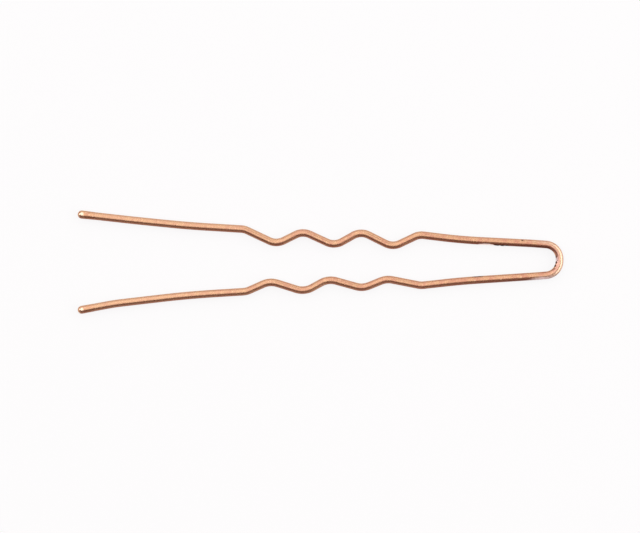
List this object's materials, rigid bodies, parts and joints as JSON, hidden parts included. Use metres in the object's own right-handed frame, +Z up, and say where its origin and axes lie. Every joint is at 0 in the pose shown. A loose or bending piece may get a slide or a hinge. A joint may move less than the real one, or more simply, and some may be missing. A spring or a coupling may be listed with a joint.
{
  "type": "u-shaped hairpin",
  "caption": "Waved U-shaped wire hairpin in lacquered bronze, whose springy legs spread from the crown and end in dipped round tips.",
  "frame": {"origin": "centre of the bounding box at the surface that the pin lies on", "axes": "+X along the pin from the tips to the crown, +Y across the pin towards the upper leg, +Z up, out of the surface it lies on"},
  "size_m": [0.076, 0.0162, 0.0013],
  "materials": {
    "steel": "drawn spring steel",
    "lacquer": "satin bronze metallic lacquer with fine grain",
    "bead": "satin bronze dipped resin"
  },
  "bodies": {
    "crown": {"crown_wire": "steel", "crown_lacquer": "lacquer"},
    "upper_leg": {"upper_leg_wire": "steel", "upper_leg_lacquer": "lacquer", "upper_tip_bead": "bead"},
    "lower_leg": {"lower_leg_wire": "steel", "lower_leg_lacquer": "lacquer", "lower_tip_bead": "bead"}
  },
  "joints": [
    {"name": "upper_leg_flex", "type": "hinge", "parent": "crown", "child": "upper_leg", "pos_m": [0.0274, 0.00321, 0.00065], "axis": [0, 0, -1], "range_deg": [-4, 12], "stiffness_Nm_per_rad": 0.415},
    {"name": "lower_leg_flex", "type": "hinge", "parent": "crown", "child": "lower_leg", "pos_m": [0.0274, -0.00261, 0.00065], "axis": [0, 0, 1], "range_deg": [-4, 12], "stiffness_Nm_per_rad": 0.415}
  ]
}
